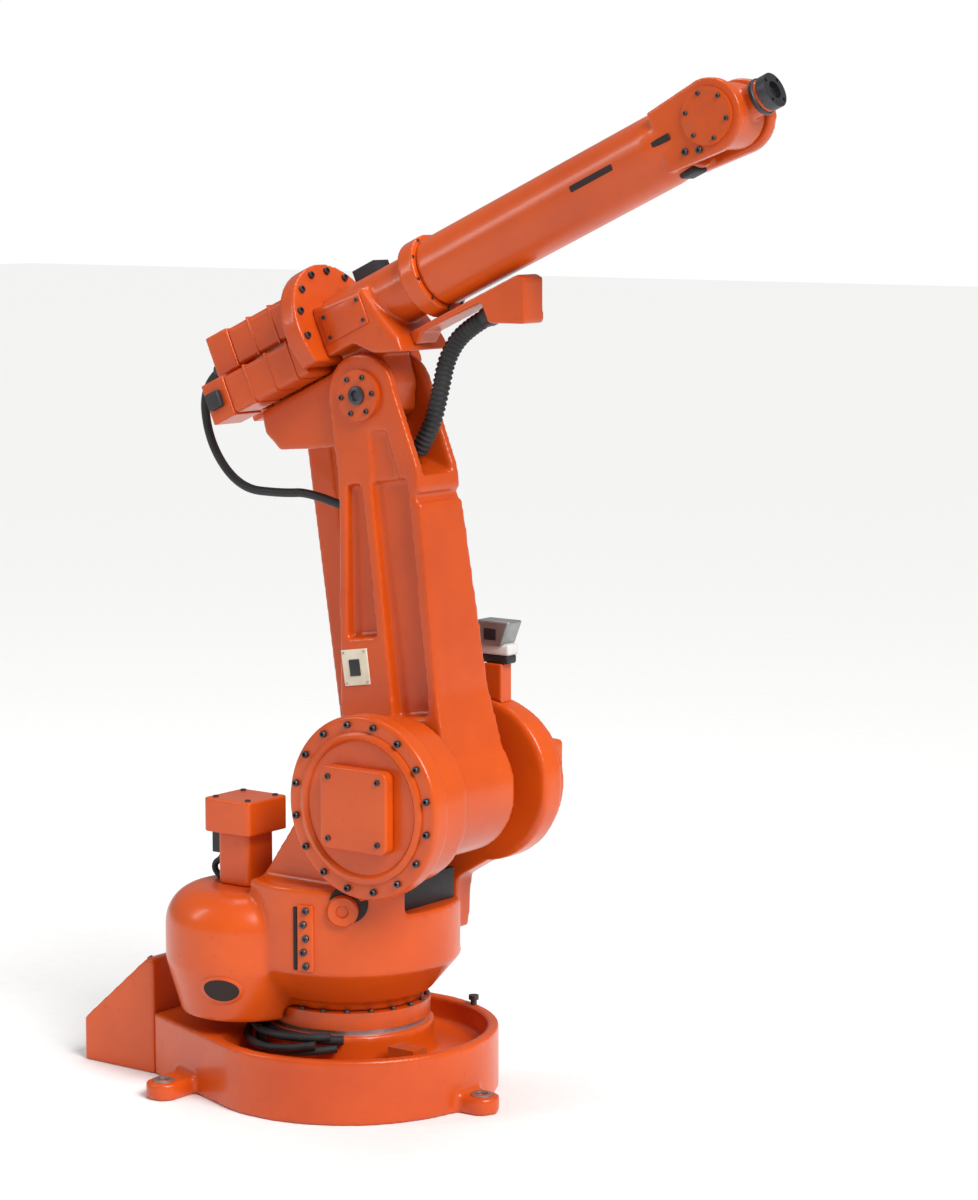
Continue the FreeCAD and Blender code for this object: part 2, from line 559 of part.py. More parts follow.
plate_flat = block("plate_flat", f"{plate_x0} - 1", f"{plate_x1} + 1", "-plate_radius - 1",
                   "plate_radius + 1", "upper_offset - plate_radius - 1", "plate_low")
node("gear_plate", cut("plate", plate, plate_flat), "upper")
motor_x0 = f"{plate_x0} - motor_length"
motors = {
    "motor4": ("0", "upper_offset + 44"),
    "motor5": ("-46", "upper_offset - 32"),
    "motor6": ("46", "upper_offset - 32"),
}
for label, (y, z) in motors.items():
    can = block(label + "_can", f"{motor_x0} + cap_length", plate_x0, f"{y} - motor_side / 2",
                f"{y} + motor_side / 2", f"{z} - motor_side / 2", f"{z} + motor_side / 2")
    node(label, fillet(label + "_soft", can, 7, lambda e: straight(e, "x")), "upper")
caps = [block(f"cap{i}", motor_x0, f"{motor_x0} + cap_length", f"{y} - motor_side / 2 - 2",
              f"{y} + motor_side / 2 + 2", f"{z} - motor_side / 2 - 2",
              f"{z} + motor_side / 2 + 2") for i, (y, z) in enumerate(motors.values())]
caps.append(block("cap_bridge", f"{motor_x0} + 8", f"{motor_x0} + cap_length - 6", "-24", "24",
                  "upper_offset - 58", "upper_offset + 24"))
node("motor_caps", fuse("caps", *caps), "upper")
node("collar", cylinder("collar_ring", "collar_radius", "collar_front - collar_back", "collar_back",
                        "0", tube_z, "x"), "upper")
node("top_connector", cut("top_conn", block("top_conn_blank", "20", "64", "10", "46",
                                            "upper_offset + 20", "upper_offset + 68"),
                          cylinder("sleeve_again", "sleeve_radius", "200", "-60", "0", tube_z, "x"),
                          saddle), "upper")
chin = outline("chin_blank", [
    ("saddle_front", "chin_top"), ("saddle_front", "30"), ("130", "46"), ("chin_back", "46"),
    ("chin_back", "12"), ("chin_front - 26", "-14"), ("chin_front", "chin_top - 10"),
    ("chin_front - 8", "chin_top"),
], "-24", "24")
node("chin_bracket", fillet("chin_soft", chin, 5, lambda e: straight(e, "y")), "upper")


def pipe(name, points, radius, y):
    """A round cable through points in the XZ plane at y, straight runs joined by tangent arcs."""
    knots = [FreeCAD.Vector(number(u), number(y), number(v)) for u, v in points]
    edges, here = [], knots[0]
    for before, knot, after in zip(knots, knots[1:], knots[2:]):
        way_in, way_out = (knot - before).normalize(), (after - knot).normalize()
        half = way_in.getAngle(way_out) / 2
        reach = 0.45 * min((knot - before).Length, (after - knot).Length)
        bend = reach / math.tan(half)
        start, end = knot - way_in * reach, knot + way_out * reach
        middle_way = (way_out - way_in).normalize()
        centre = knot + middle_way * (bend / math.cos(half))
        middle = centre - middle_way * bend
        edges.append(Part.makeLine(here, start))
        edges.append(Part.Arc(start, middle, end).toShape())
        here = end
    edges.append(Part.makeLine(here, knots[-1]))
    spine = Part.Wire(edges)
    ring = Part.Wire(Part.makeCircle(number(radius), knots[0], (knots[1] - knots[0]).normalize()))
    thing = doc.addObject("Part::Feature", name)
    thing.Shape = spine.makePipeShell([ring], True, False)
    return thing


loop_points = [
    (motor_x0, "150"), ("-315", "150"), ("-346", "60"), ("-318", "-30"), ("-240", "-68"),
    ("-182", "-88"), ("-114.2", "-145.6"),
]
node("rear_cable", pipe("rear_cable_pipe", loop_points, "loop_radius", "0"), "upper")
hose_points = [
    ("30", "-104"), ("66", "-84"), ("104", "-40"), ("140", "6"), ("190", "28"),
    ("chin_back - 0.2", "28"),
]
node("elbow_hose", pipe("elbow_hose_pipe", hose_points, "hose_radius", "4"), "upper")

# ---- turning tube, wrist and tool flange ---------------------------------------------------------
fork = [
    ("upper_length - 90", "upper_offset - tube_radius + 8"),
    ("upper_length", "upper_offset - head_radius"), ("upper_length", "upper_offset + head_radius"),
    ("upper_length - 90", "upper_offset + tube_radius - 8"),
]
tube_bits = [cylinder("tube", "tube_radius", "upper_length - 110 - collar_front - 0.5",
                      "collar_front + 0.5", "0", tube_z, "x"),
             cone("tube_end", "tube_radius", "head_half", "50", "upper_length - 110", "0", tube_z,
                  "x")]
for tag, low, high in (("near", "-head_half", "-fork_gap"), ("far", "fork_gap", "head_half")):
    tube_bits.append(outline("fork_" + tag, fork, low, high))
    tube_bits.append(cylinder("fork_end_" + tag, "head_radius", "head_half - fork_gap",
                              "upper_length", low, tube_z, "y"))
node("arm_tube", fuse("tube_whole", *tube_bits), "upper")
for tag, low in (("near", "-head_half - 4"), ("far", "head_half")):
    node("wrist_cover_" + tag, cylinder("cover_" + tag, "head_radius - 12", "4", "upper_length",
                                        low, tube_z, "y"), "upper")

tilt_bits = [
    cylinder("tilt", "tilt_radius", "tilt_half * 2", "upper_length", "-tilt_half", tube_z, "y"),
    cylinder("tilt_boss", "24", "fork_gap * 2 - 0.6", "upper_length", "-fork_gap + 0.3", tube_z,
             "y"),
    cylinder("nose", "nose_radius", "flange_reach - flange_thick - 0.5", "upper_length", "0",
             tube_z, "x"),
]
node("wrist_housing", fuse("tilt_whole", *tilt_bits), "upper")
flange_x0 = "upper_length + flange_reach - flange_thick"
disc = cylinder("flange_disc", "flange_radius", "flange_thick", flange_x0, "0", tube_z, "x")
flange_cuts = [cylinder("flange_bore_cut", "flange_bore", "flange_bore_depth + 1",
                        "upper_length + flange_reach - flange_bore_depth", "0", tube_z, "x")]
for i in range(4):
    turn = f"{45 + 90 * i} * 1deg"
    flange_cuts.append(cylinder(f"flange_hole{i}", "flange_hole", "11",
                                "upper_length + flange_reach - 10",
                                f"flange_circle * cos({turn})",
                                f"upper_offset + flange_circle * sin({turn})", "x"))
node("tool_flange", cut("flange", disc, *flange_cuts), "upper")

doc.removeObject("scratch")
doc.recompute()
broken = [f"{thing.Name}: {thing.State}" for thing in doc.Objects
          if "Invalid" in thing.State or "Error" in thing.State]
if broken:
    raise RuntimeError("did not build: " + "; ".join(broken))
os.makedirs("parts", exist_ok=True)
for thing in NODES:
    if not thing.Shape.isValid() or len(thing.Shape.Solids) != 1:
        raise RuntimeError(f"{thing.Label} is not one sound solid: {len(thing.Shape.Solids)}")
    thing.Shape.Solids[0].exportStep(f"parts/{thing.Label}.step")
print(len(NODES), "pieces")
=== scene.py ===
import json
import math

import bmesh
import bpy
from mathutils import Matrix, Vector


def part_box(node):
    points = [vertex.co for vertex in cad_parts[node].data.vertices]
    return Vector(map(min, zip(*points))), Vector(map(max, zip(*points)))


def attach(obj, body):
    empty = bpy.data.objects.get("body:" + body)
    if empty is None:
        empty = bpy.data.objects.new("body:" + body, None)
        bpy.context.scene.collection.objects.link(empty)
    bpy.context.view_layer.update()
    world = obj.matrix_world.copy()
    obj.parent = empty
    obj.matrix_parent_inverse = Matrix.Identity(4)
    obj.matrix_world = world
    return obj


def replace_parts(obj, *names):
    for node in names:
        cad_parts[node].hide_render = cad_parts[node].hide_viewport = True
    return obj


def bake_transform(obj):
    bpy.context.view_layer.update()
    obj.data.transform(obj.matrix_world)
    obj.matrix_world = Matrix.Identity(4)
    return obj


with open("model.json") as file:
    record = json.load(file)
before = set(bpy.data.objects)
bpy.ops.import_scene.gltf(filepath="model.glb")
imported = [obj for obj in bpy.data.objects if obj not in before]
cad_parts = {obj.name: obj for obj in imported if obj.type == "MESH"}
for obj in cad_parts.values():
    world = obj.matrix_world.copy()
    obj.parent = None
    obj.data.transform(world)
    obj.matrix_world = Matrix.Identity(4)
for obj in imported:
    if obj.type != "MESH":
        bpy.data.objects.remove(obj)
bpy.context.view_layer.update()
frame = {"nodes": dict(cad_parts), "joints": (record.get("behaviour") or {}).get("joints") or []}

JOINTS = {j["name"]: j for j in frame["joints"]}
SHOULDER = Vector(JOINTS["axis_2_lower_arm"]["pos_m"])
ELBOW = Vector(JOINTS["axis_3_upper_arm"]["pos_m"])
TUBE_FOOT = Vector(JOINTS["axis_4_tube"]["pos_m"])
TUBE_WAY = Vector(JOINTS["axis_4_tube"]["axis"])
WRIST = Vector(JOINTS["axis_5_bend"]["pos_m"])
LEFT = Vector((0, 1, 0))
UP = Vector((0, 0, 1))


def axes_at(origin, x_way):
    """The matrix of a set of axes at origin, with x along x_way and y to the row's left."""
    z_way = x_way.cross(LEFT)
    turn = Matrix((x_way, LEFT, z_way)).transposed()
    return Matrix.Translation(origin) @ turn.to_4x4()


ROW = Matrix.Identity(4)
ARM_UP = (ELBOW - SHOULDER).normalized()
LOWER = axes_at(SHOULDER, LEFT.cross(ARM_UP))
UPPER = axes_at(ELBOW, TUBE_WAY)
OFFSET = (TUBE_FOOT - ELBOW).length
TUBE_LENGTH = (WRIST - TUBE_FOOT).length


# ---- materials ----------------------------------------------------------------------------------
def material(name):
    made = bpy.data.materials.new(name)
    made.use_nodes = True
    nodes, links = made.node_tree.nodes, made.node_tree.links
    shader = nodes["Principled BSDF"]
    place = nodes.new("ShaderNodeTexCoord")
    return made, nodes, links, shader, place.outputs["Object"]


def noise(nodes, links, place, scale, detail=6, roughness=0.6):
    made = nodes.new("ShaderNodeTexNoise")
    made.inputs["Scale"].default_value = scale
    made.inputs["Detail"].default_value = detail
    made.inputs["Roughness"].default_value = roughness
    links.new(place, made.inputs["Vector"])
    return made.outputs["Fac"]


def ramp(nodes, links, factor, low, high, start, end):
    """Blends from the low colour to the high one as factor goes from start to end."""
    made = nodes.new("ShaderNodeValToRGB")
    made.color_ramp.elements[0].position = start
    made.color_ramp.elements[1].position = end
    made.color_ramp.elements[0].color = low
    made.color_ramp.elements[1].color = high
    links.new(factor, made.inputs["Fac"])
    return made.outputs["Color"]


def mix(nodes, links, factor, one, two):
    made = nodes.new("ShaderNodeMix")
    made.data_type = "RGBA"
    links.new(factor, made.inputs["Factor"])
    for socket, value in ((made.inputs["A"], one), (made.inputs["B"], two)):
        if isinstance(value, tuple):
            socket.default_value = value
        else:
            links.new(value, socket)
    return made.outputs["Result"]


def bump(nodes, links, shader, heights):
    """Adds up bumps, each (factor, strength, distance)."""
    before = None
    for factor, strength, distance in heights:
        made = nodes.new("ShaderNodeBump")
        made.inputs["Strength"].default_value = strength
        made.inputs["Distance"].default_value = distance
        links.new(factor, made.inputs["Height"])
        if before:
            links.new(before, made.inputs["Normal"])
        before = made.outputs["Normal"]
    links.new(before, shader.inputs["Normal"])


def grey(value):
    return (value, value, value, 1)


def paint(name, main, deep, worn):
    """Thick gloss paint: a slightly uneven coat, grime in patches, small chips at sharp edges."""
    made, nodes, links, shader, place = material(name)
    shine = 0.28
    patches = noise(nodes, links, place, 3.0)
    fine = noise(nodes, links, place, 60.0, 8)
    peel = noise(nodes, links, place, 240.0, 2)
    coat = mix(nodes, links, ramp(nodes, links, patches, grey(0), grey(1), 0.35, 0.75), main, deep)
    specks = ramp(nodes, links, fine, grey(0), grey(0.5), 0.62, 0.72)
    coat = mix(nodes, links, specks, coat, deep)
    geometry = nodes.new("ShaderNodeNewGeometry")
    edge = ramp(nodes, links, geometry.outputs["Pointiness"], grey(0), grey(0.55), 0.56, 0.66)
    chips = nodes.new("ShaderNodeMath")
    chips.operation = "MULTIPLY"
    links.new(edge, chips.inputs[0])
    links.new(ramp(nodes, links, fine, grey(0), grey(1), 0.5, 0.56), chips.inputs[1])
    coat = mix(nodes, links, chips.outputs[0], coat, worn)
    links.new(coat, shader.inputs["Base Color"])
    links.new(ramp(nodes, links, patches, grey(shine), grey(shine + 0.16), 0.3, 0.8),
              shader.inputs["Roughness"])
    shader.inputs["Specular IOR Level"].default_value = 0.35
    shader.inputs["Coat Weight"].default_value = 0.30
    shader.inputs["Coat Roughness"].default_value = 0.16
    bump(nodes, links, shader, [(peel, 0.10, 0.0006), (patches, 0.12, 0.004)])
    return made


def metal(name, main, dull, rough):
    """Turned or cast metal with a fine grain and a little staining."""
    made, nodes, links, shader, place = material(name)
    grain = noise(nodes, links, place, 160.0, 4)
    stains = noise(nodes, links, place, 12.0)
    links.new(mix(nodes, links, ramp(nodes, links, stains, grey(0), grey(1), 0.4, 0.7), main, dull),
              shader.inputs["Base Color"])
    links.new(ramp(nodes, links, stains, grey(rough), grey(rough + 0.2), 0.3, 0.7),
              shader.inputs["Roughness"])
    shader.inputs["Metallic"].default_value = 0.9
    bump(nodes, links, shader, [(grain, 0.25, 0.0004)])
    return made


def polymer(name, main, dusty, rough, dust=0.35):
    """Rubber or moulded plastic with dust on it."""
    made, nodes, links, shader, place = material(name)
    grains = noise(nodes, links, place, 500.0, 3)
    clouds = noise(nodes, links, place, 18.0)
    links.new(mix(nodes, links, ramp(nodes, links, clouds, grey(0), grey(dust), 0.45, 0.75), main,
                  dusty), shader.inputs["Base Color"])
    links.new(ramp(nodes, links, clouds, grey(rough), grey(min(1, rough + 0.2)), 0.3, 0.8),
              shader.inputs["Roughness"])
    bump(nodes, links, shader, [(grains, 0.3, 0.0004)])
    return made


ORANGE = paint("orange_gloss", (0.68, 0.090, 0.005, 1), (0.48, 0.050, 0.003, 1),
               (0.28, 0.10, 0.05, 1))
STEEL = metal("machined_steel", (0.55, 0.55, 0.56, 1), (0.32, 0.31, 0.30, 1), 0.26)
DARK_STEEL = metal("dark_steel", (0.10, 0.10, 0.115, 1), (0.05, 0.05, 0.055, 1), 0.34)
CAST_GREY = metal("cast_grey", (0.42, 0.43, 0.43, 1), (0.22, 0.22, 0.22, 1), 0.42)
RUBBER = polymer("black_rubber", (0.010, 0.010, 0.013, 1), (0.07, 0.065, 0.06, 1), 0.5)
PLASTIC = polymer("black_plastic", (0.014, 0.014, 0.018, 1), (0.06, 0.06, 0.06, 1), 0.38)
WHITE = polymer("white_plastic", (0.72, 0.71, 0.68, 1), (0.45, 0.43, 0.40, 1), 0.4)
CREAM = polymer("cream_enamel", (0.80, 0.74, 0.58, 1), (0.55, 0.48, 0.36, 1), 0.32, 0.5)
# Near-black painted shade: laid as thin sheets over the tower window, the seam, the tube slots and the
# boss's shadow, where there is no real depth.
SHADE_BLACK = polymer("painted_shade_black", (0.020, 0.010, 0.010, 1), (0.05, 0.03, 0.02, 1), 0.7)


# ---- making pieces ------------------------------------------------------------------------------
def add_piece(name, mesh, body, finish, angle=40):
    piece = bpy.data.objects.new(name, mesh)
    bpy.context.scene.collection.objects.link(piece)
    mesh.materials.clear()
    mesh.materials.append(finish)
    mesh.shade_smooth()
    mesh.set_sharp_from_angle(angle=math.radians(angle))
    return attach(piece, body) if body else piece


def cast(name, nodes, body, voxel=0.003, passes=8, finish=ORANGE):
    """A casting with softly rounded edges and corners, made from the CAD nodes' own shapes."""
    work = bmesh.new()
    for node in nodes:
        work.from_mesh(frame["nodes"][node].data)
    mesh = bpy.data.meshes.new(name + "_rough")
    work.to_mesh(mesh)
    work.free()
    rough = bpy.data.objects.new(name + "_rough", mesh)
    bpy.context.scene.collection.objects.link(rough)
    weld = rough.modifiers.new("weld", "WELD")
    weld.merge_threshold = 1e-5
    remesh = rough.modifiers.new("remesh", "REMESH")
    remesh.mode = "VOXEL"
    remesh.voxel_size = voxel
    relax = rough.modifiers.new("relax", "SMOOTH")
    relax.factor = 0.5
    relax.iterations = passes
    graph = bpy.context.evaluated_depsgraph_get()
    soft = bpy.data.meshes.new_from_object(rough.evaluated_get(graph))
    soft.name = name
    bpy.data.objects.remove(rough)
    piece = add_piece(name, soft, body, finish, angle=180)
    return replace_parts(piece, *nodes)


def finish_node(node, finish):
    """Gives a CAD node its finish, and shades its round faces smooth."""
    shown = frame["nodes"][node]
    shown.data.materials.clear()
    shown.data.materials.append(finish)
    shown.data.shade_smooth()
    shown.data.set_sharp_from_angle(angle=math.radians(35))


def turned(work, profile, matrix, steps=48, capped=True):
    """Adds to a bmesh a shape turned about z: profile is (radius, z) pairs; uncapped, it is a ring."""
    rings = []
    for radius, z in profile:
        ring = []
        for i in range(steps):
            a = 2 * math.pi * i / steps
            spot = Vector((radius * math.cos(a), radius * math.sin(a), z))
            ring.append(work.verts.new(matrix @ spot))
        rings.append(ring)
    pairs = list(zip(rings, rings[1:])) + ([] if capped else [(rings[-1], rings[0])])
    for low, high in pairs:
        for i in range(steps):
            j = (i + 1) % steps
            work.faces.new((low[i], low[j], high[j], high[i]))
    if capped:
        work.faces.new(list(reversed(rings[0])))
        work.faces.new(rings[-1])


def facing(matrix, spot, way):
    """Axes at spot of the given set, with z along way of that set."""
    z_way = Vector(way).normalized()
    turn = z_way.to_track_quat("Z", "Y").to_matrix().to_4x4()
    return matrix @ Matrix.Translation(Vector(spot)) @ turn


def to_mesh(work, name):
    bmesh.ops.recalc_face_normals(work, faces=work.faces)
    mesh = bpy.data.meshes.new(name)
    work.to_mesh(mesh)
    work.free()
    return mesh


def screws(name, seats, body, radius=0.006, height=0.006, finish=DARK_STEEL):
    """Socket-head screws; each seat is (axes, spot, outward way)."""
    work = bmesh.new()
    for matrix, spot, way in seats:
        axes = facing(matrix, spot, way)
        turned(work, [(radius, -0.002), (radius, height * 0.82), (radius * 0.86, height),
                      (radius * 0.52, height), (radius * 0.48, height * 0.45)], axes, 12)
    return add_piece(name, to_mesh(work, name), body, finish, angle=30)


def ring_seats(matrix, centre, way, circle, count, first=0.0):
    """Seats for screws evenly round a circle about way."""
    axes = facing(Matrix.Identity(4), centre, way)
    seats = []
    for i in range(count):
        a = math.radians(first) + 2 * math.pi * i / count
        seats.append((matrix, axes @ Vector((circle * math.cos(a), circle * math.sin(a), 0)), way))
    return seats


def slab(work, matrix, low, high, soft):
    """Adds a box between two corners, its edges rounded by soft."""
    low, high = Vector(low), Vector(high)
    middle, size = (low + high) / 2, high - low
    made = bmesh.ops.create_cube(work, size=1)["verts"]
    bmesh.ops.scale(work, vec=size, verts=made)
    bmesh.ops.translate(work, vec=middle, verts=made)
    edges = list({e for v in made for e in v.link_edges})
    found = bmesh.ops.bevel(work, geom=edges, offset=soft, segments=3, profile=0.5, affect="EDGES")
    made = list({v for f in found["faces"] for v in f.verts} | {v for v in made if v.is_valid})
    bmesh.ops.transform(work, matrix=matrix, verts=made)


def rounded_box(name, matrix, low, high, body, finish, soft):
    work = bmesh.new()
    slab(work, matrix, low, high, soft)
    return add_piece(name, to_mesh(work, name), body, finish)


def cable(name, points, radius, finish, body=None, ribs=0.0, steps=16):
    """A round cable along a smooth line near the points; ribs is a corrugation's pitch."""
    curve = bpy.data.curves.new(name + "_line", "CURVE")
    curve.dimensions = "3D"
    line = curve.splines.new("NURBS")
    line.points.add(len(points) - 1)
    for point, spot in zip(line.points, points):
        point.co = (*spot, 1)
    line.order_u = 3
    line.use_endpoint_u = True
    curve.resolution_u = 24
    holder = bpy.data.objects.new(name + "_line", curve)
    bpy.context.scene.collection.objects.link(holder)
    path = bpy.data.meshes.new_from_object(holder)
    route = [v.co.copy() for v in path.vertices]
    bpy.data.objects.remove(holder)
    route = even(route, ribs / 4 if ribs else radius * 0.6)
    work = bmesh.new()
    rings = []
    side = None
    for i, spot in enumerate(route):
        way = (route[min(i + 1, len(route) - 1)] - route[max(i - 1, 0)]).normalized()
        side = way.orthogonal() if side is None else side - way * side.dot(way)
        side = side.normalized()
        other = way.cross(side)
        size = radius
        if ribs:
            size = radius * (1.0 if i % 4 in (1, 2) else 0.86)
        ring = []
        for k in range(steps):
            a = 2 * math.pi * k / steps
            ring.append(work.verts.new(spot + (side * math.cos(a) + other * math.sin(a)) * size))
        rings.append(ring)
    for low, high in zip(rings, rings[1:]):
        for k in range(steps):
            m = (k + 1) % steps
            work.faces.new((low[k], low[m], high[m], high[k]))
    work.faces.new(list(reversed(rings[0])))
    work.faces.new(rings[-1])
    return add_piece(name, to_mesh(work, name), body, finish, angle=60)


def even(route, pitch):
    """Spots along a route that lie one pitch apart."""
    spots, left = [route[0]], pitch
    for here, there in zip(route, route[1:]):
        run = (there - here).length
        while run > left:
            here = here + (there - here).normalized() * left
            spots.append(here)
            run -= left
            left = pitch
        left -= run
    spots.append(route[-1])
    return spots


# ---- base ---------------------------------------------------------------------------------------
FEET = ((0.25, 0), (-0.185, 0.225), (-0.185, -0.225))
LID_SEAT_SHARES = (0.08, 0.5, 0.92)


def base():
    cast("base_body", ["base_casting"], "base", 0.004, 6)
    cast("cable_box_body", ["cable_box"], "base", 0.0035, 5)
    for node in ("base_lid", "stop_block"):
        finish_node(node, ORANGE)
    finish_node("bearing_ring", STEEL)
    finish_node("rim_knob", DARK_STEEL)
    finish_node("base_connectors", PLASTIC)
    finish_node("base_cables", RUBBER)
    low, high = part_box("base_lid")
    run = Vector((high.x - low.x, 0, high.z - low.z))
    out = LEFT.cross(run) * -1
    seats = []
    for share in LID_SEAT_SHARES:
        for y in (low.y + 0.012, high.y - 0.012):
            seats.append((ROW, Vector((low.x, y, low.z + 0.003)) + run * share, out))
    screws("lid_screws", seats, "base", 0.005, 0.003)
    work = bmesh.new()
    for x, y in FEET:
        rim = [(0.0165, 0.0255), (0.0165, 0.0275), (0.015, 0.0285), (0.0100, 0.0285),
               (0.0095, 0.0255)]
        turned(work, rim, Matrix.Translation((x, y, 0)), 32, False)
    add_piece("foot_seats", to_mesh(work, "foot_seats"), "base", STEEL)
    plug_low, plug_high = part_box("base_connectors")
    work = bmesh.new()
    for y in (-0.062, -0.014):
        seat = facing(ROW, (plug_low.x, y, 0.038), (-1, 0, 0))
        turned(work, [(0.015, -0.004), (0.015, 0.0), (0.011, 0.0), (0.010, -0.003)], seat, 32)
    add_piece("plug_rings", to_mesh(work, "plug_rings"), "base", STEEL)


def drum_cables():
    """Black cables that lie round the fixed drum under the turning frame."""
    strands = [(0.151, 0.1105, 0.004, 204, 296), (0.163, 0.100, 0.012, 212, 288),
               (0.150, 0.093, 0.008, 222, 300)]
    for number, (radius, height, sag, start, end) in enumerate(strands):
        count = 8
        spots = []
        for i in range(count):
            share = i / (count - 1)
            a = math.radians(start + (end - start) * share)
            wave = math.sin(math.pi * share)
            reach = radius + 0.004 * wave - 0.012 * (1 - wave)
            spots.append(Vector((reach * math.cos(a), reach * math.sin(a), height - sag * wave)))
        cable(f"drum_cable_{number}", spots, 0.0062, RUBBER, "base")


# ---- turning frame ------------------------------------------------------------------------------
TOWER = Vector((-0.128, -0.095, 0))
BARREL_RADIUS = 0.170


def oval_patch(name, axis, radius_at, angle, half_angle, height, half_height, body, finish, lift):
    """A thin oval plate that follows an upright cone about axis."""
    work = bmesh.new()
    spokes, rings = 40, (1.0, 0.94, 0.6, 0.25)

    def spot(share, turn, up):
        z = height + half_height * share * math.sin(turn)
        a = angle + half_angle * share * math.cos(turn)
        reach = radius_at(z) + up
        return axis + Vector((reach * math.cos(a), reach * math.sin(a), z))

    turns = [2 * math.pi * i / spokes for i in range(spokes)]
    layers = [[work.verts.new(spot(1.0, t, -0.003)) for t in turns]]
    for share in rings:
        up = lift * (0.4 if share == 1.0 else 1.0)
        layers.append([work.verts.new(spot(share, t, up)) for t in turns])
    for one, two in zip(layers, layers[1:]):
        for i in range(spokes):
            j = (i + 1) % spokes
            work.faces.new((one[i], one[j], two[j], two[i]))
    work.faces.new(layers[-1])
    work.faces.new(list(reversed(layers[0])))
    return add_piece(name, to_mesh(work, name), body, finish)


def tower_radius(z):
    return 0.100 + 0.024 * min(1, (z - 0.122) / 0.082)


def frame_castings():
    cast("frame_body", ["frame_casting"], "frame", 0.004, 10)
    cast("motor1_head_body", ["motor1_head"], "frame", 0.0022, 5)
    cast("motor1_body", ["motor1"], "frame", 0.0025, 5)
    cast("gearbox2_body", ["gearbox2"], "frame", 0.003, 4)
    cast("motor2_cover_body", ["motor2_cover"], "frame", 0.0025, 6)
    cast("gearbox3_body", ["gearbox3"], "frame", 0.003, 4)
    cast("motor3_body", ["motor3"], "frame", 0.003, 5)
    cast("bracket_body", ["cable_bracket"], "frame", 0.002, 3)
    finish_node("turntable", ORANGE)
    finish_node("motor1_connector", PLASTIC)


def frame_details():
    near_y, far_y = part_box("gearbox2")[0].y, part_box("gearbox3")[1].y
    near_face = (SHOULDER.x, near_y, SHOULDER.z)
    far_face = (SHOULDER.x, far_y, SHOULDER.z)
    screws("gearbox2_screws", ring_seats(ROW, near_face, (0, -1, 0), 0.124, 16, 11), "frame", 0.0052)
    screws("gearbox3_screws", ring_seats(ROW, far_face, (0, 1, 0), 0.106, 14, 11), "frame")
    work = bmesh.new()
    raised = [(0.113, -0.003), (0.113, 0.003), (0.110, 0.0055), (0.104, 0.006), (0.100, 0.003),
              (0.098, -0.001)]
    turned(work, raised, facing(ROW, near_face, (0, -1, 0)), 96, False)
    add_piece("gearbox2_ring", to_mesh(work, "gearbox2_ring"), "frame", ORANGE)
    cover_low, cover_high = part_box("motor2_cover")
    seats = [(ROW, (x, cover_low.y, z), (0, -1, 0))
             for x in (cover_low.x + 0.016, cover_high.x - 0.016)
             for z in (cover_low.z + 0.016, cover_high.z - 0.016)]
    screws("motor2_cover_screws", seats, "frame", 0.0045, 0.003)
    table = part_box("turntable")[1].z
    screws("turntable_screws", ring_seats(ROW, (0, 0, table), (0, 0, 1), 0.116, 20), "frame",
           0.0042, 0.0045)
    head_low, head_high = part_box("motor1_head")
    seats = [(ROW, (x, y, head_high.z), (0, 0, 1)) for x in (head_low.x + 0.014, head_high.x - 0.014)
             for y in (head_low.y + 0.014, head_high.y - 0.014)]
    screws("motor1_head_screws", seats, "frame", 0.0045, 0.0025)
    motor_low, motor_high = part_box("motor3")
    head = 0.003
    seats = [(ROW, (x, motor_high.y - head, z), (0, 1, 0))
             for x in (motor_low.x + 0.014, motor_high.x - 0.014)
             for z in (motor_low.z + 0.014, motor_high.z - 0.014)]
    screws("motor3_screws", seats, "frame", 0.0045, head)


def tower_window_painted_shade():
    angle = math.radians(-69)
    oval_patch("tower_window_rim", TOWER, tower_radius, angle, 0.30, 0.176, 0.023, "frame", ORANGE,
               0.0018)
    # The inner oval is painted shade: a near-black sheet on the tower's surface in place of the
    # window's shaded inside.
    oval_patch("tower_window_painted_shade", TOWER, tower_radius, angle, 0.25, 0.176, 0.018, "frame", SHADE_BLACK,
               0.0026)


def barrel_details():
    """A bolted seam and a round boss on the near side of the barrel, with painted shade along the seam
    and a painted shadow behind the boss.
    """
    seam = math.radians(-74)
    out = Vector((math.cos(seam), math.sin(seam), 0))
    side = UP.cross(out)
    rib_axes = Matrix((side, out, UP)).transposed().to_4x4()
    rib_axes.translation = out * BARREL_RADIUS
    rounded_box("seam_flange", rib_axes, (-0.013, -0.006, 0.216), (0.013, 0.005, 0.318), "frame",
                ORANGE, 0.003)
    # A near-black strip beside the flange: painted shade of the seam, not a real gap.
    rounded_box("seam_gap_painted_shade", rib_axes, (-0.0205, -0.006, 0.218), (-0.014, 0.0012, 0.314), "frame",
                SHADE_BLACK, 0.001)
    seats = [(rib_axes, (0.002 * (-1) ** i, 0.005, 0.226 + 0.021 * i), (0, 1, 0)) for i in range(5)]
    screws("seam_screws", seats, "frame", 0.0055, 0.005)
    boss = math.radians(-55)
    way = Vector((math.cos(boss), math.sin(boss), 0))
    spot = way * BARREL_RADIUS + UP * 0.312
    work = bmesh.new()
    turned(work, [(0.024, -0.006), (0.024, 0.007), (0.021, 0.011), (0.010, 0.011), (0.008, 0.007)],
           facing(ROW, spot, way), 40)
    add_piece("barrel_boss", to_mesh(work, "barrel_boss"), "frame", ORANGE)
    # A near-black disc set off up and to one side behind the boss: a painted shadow of the boss, not a
    # recess.
    shade = spot + UP * 0.010 + UP.cross(way) * 0.009
    work = bmesh.new()
    turned(work, [(0.029, -0.006), (0.029, 0.002), (0.027, 0.003)], facing(ROW, shade, way), 40)
    add_piece("barrel_boss_painted_shadow", to_mesh(work, "barrel_boss_painted_shadow"), "frame", SHADE_BLACK)


